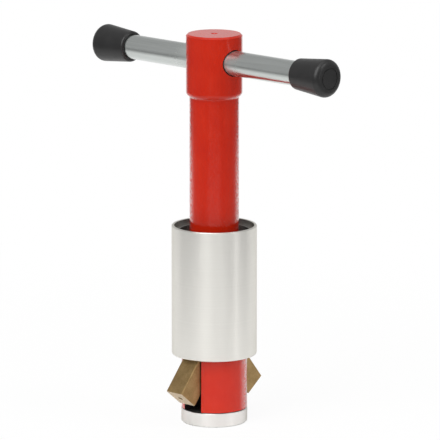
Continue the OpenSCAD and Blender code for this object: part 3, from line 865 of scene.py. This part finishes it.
camera = bpy.data.objects.new("camera", bpy.data.cameras.new("camera"))
camera.data.lens = CAMERA_LENS
camera.data.sensor_width = CAMERA_SENSOR
camera.location = Vector((0, 0, AIM_UP)) + TO_RIGHT * AIM_RIGHT + TO_CAMERA * CAMERA_FAR
camera.rotation_euler = TO_CAMERA.to_track_quat('Z', 'Y').to_euler()
bpy.context.scene.collection.objects.link(camera)
bpy.context.scene.camera = camera


def softbox(name, place_at, size, power):
    """A large soft lamp that faces the tool."""
    lamp = bpy.data.lights.new(name, 'AREA')
    lamp.shape = 'RECTANGLE'
    lamp.size, lamp.size_y = size
    lamp.energy = power
    holder = bpy.data.objects.new(name, lamp)
    holder.location = place_at
    holder.rotation_euler = (Vector(place_at) - Vector(LAMP_AIM)).to_track_quat('Z', 'Y').to_euler()
    bpy.context.scene.collection.objects.link(holder)


def beside_camera(turn, rise, far):
    """A spot by its angle to the camera's right, its height angle and its distance."""
    return way_to(CAMERA_TURN + radians(turn), radians(rise)) * far


softbox("front_softbox", beside_camera(turn=-32, rise=45, far=2.4), size=(2.0, 2.4), power=34)
softbox("front_strip", beside_camera(turn=-31, rise=45, far=2.4), size=(0.42, 2.4), power=6.5)
softbox("right_softbox", beside_camera(turn=64, rise=42, far=1.6), size=(0.5, 0.5), power=3.3)
softbox("right_strip", beside_camera(turn=61, rise=10, far=1.6), size=(0.24, 0.5), power=0.8)
softbox("top_softbox", (0, 0.1, 1.5), size=(1.2, 1.2), power=3)

bpy.ops.object.select_all(action='DESELECT')
bpy.ops.mesh.primitive_plane_add(size=FLOOR_SIZE, location=(0, 0, -FLOOR_DROP))
floor = bpy.context.object
floor.name = "pale_floor"


def make_floor_paper():
    """White paper that turns grey to the sides and at its ends, where the bright pieces mirror it."""
    made = bpy.data.materials.new("pale_floor_paper")
    made.use_nodes = True
    tree = made.node_tree
    tree.nodes.clear()
    spot = add(tree, 'ShaderNodeTexCoord').outputs["Object"]
    aside = maths(tree, 'ABSOLUTE', vectors(tree, 'DOT_PRODUCT', spot, TO_RIGHT))
    back = vectors(tree, 'DOT_PRODUCT', spot, BACK)
    away = vectors(tree, 'LENGTH', spot)

    # Grey sides: they stand wider apart behind the tool, and their edge is softer there.
    edge = maths(tree, 'MULTIPLY_ADD', maths(tree, 'MAXIMUM', back, 0.0), -SIDE_SPREAD, aside)
    soft_to = remap(tree, back, -0.3, -0.08, low=0.27, high=0.62)
    side = remap(tree, edge, 0.2, soft_to)

    # Dark ends: one in front, and two wings behind with a gap in line with the camera.
    front = remap(tree, back, -0.45, -0.78, smooth=True)
    far = remap(tree, away, 0.56, 0.74, smooth=True)
    lean = maths(tree, 'MULTIPLY_ADD', back, -WING_SPREAD, aside)
    off_line = remap(tree, lean, 0.0, 0.12, smooth=True)
    behind = remap(tree, back, 0.05, 0.2)
    wings = maths(tree, 'MULTIPLY', maths(tree, 'MULTIPLY', far, off_line), behind)
    ends = maths(tree, 'MAXIMUM', front, wings)

    white = blend_colours(tree, remap(tree, back, -0.1, 0.25), PAPER_FRONT, PAPER_BACK)
    sheet = blend_colours(tree, side, white, SIDE_GREY)
    tone = blend_colours(tree, ends, sheet, END_GREY)

    # The camera sees it almost as white as the ground, and mirrors see the sweep behind the tool lit.
    rays = add(tree, 'ShaderNodeLightPath').outputs
    clear = remap(tree, away, 0.15, 0.4, low=0.92, smooth=True)
    seen = maths(tree, 'MULTIPLY', rays["Is Camera Ray"], clear)
    sweep = remap(tree, back, 0.05, 0.25, high=0.7, smooth=True)
    lit = maths(tree, 'MULTIPLY', remap(tree, ends, 0.0, 1.0, low=sweep, high=0.0), rays["Is Glossy Ray"])
    matt = add(tree, 'ShaderNodeBsdfDiffuse', {"Color": tone})
    ground = add(tree, 'ShaderNodeEmission', {"Color": WHITE, "Strength": 1.0})
    both = add(tree, 'ShaderNodeMixShader',
               {0: maths(tree, 'MAXIMUM', seen, lit), 1: matt.outputs[0], 2: ground.outputs[0]})
    add(tree, 'ShaderNodeOutputMaterial', {"Surface": both.outputs[0]})
    return made


floor.data.materials.append(make_floor_paper())


def make_world():
    """White to the camera, and to everything else a grey studio that is brighter behind the tool."""
    made = bpy.data.worlds.new("studio")
    made.use_nodes = True
    tree = made.node_tree
    tree.nodes.clear()
    way = add(tree, 'ShaderNodeTexCoord').outputs["Generated"]
    sweep = remap(tree, vectors(tree, 'DOT_PRODUCT', way, BACK), 0.15, 0.6, smooth=True)
    low = remap(tree, split(tree, way)["Z"], 0.6, 0.05, smooth=True)
    level = remap(tree, maths(tree, 'MULTIPLY', sweep, low), 0.0, 1.0, low=0.44, high=0.72)
    studio = add(tree, 'ShaderNodeBackground', {"Color": WHITE, "Strength": level})
    white = add(tree, 'ShaderNodeBackground', {"Color": WHITE, "Strength": 1.0})
    rays = add(tree, 'ShaderNodeLightPath').outputs
    both = add(tree, 'ShaderNodeMixShader',
               {0: rays["Is Camera Ray"], 1: studio.outputs[0], 2: white.outputs[0]})
    add(tree, 'ShaderNodeOutputWorld', {"Surface": both.outputs[0]})
    return made


bpy.context.scene.world = make_world()
bpy.context.scene.view_settings.view_transform = 'Standard'
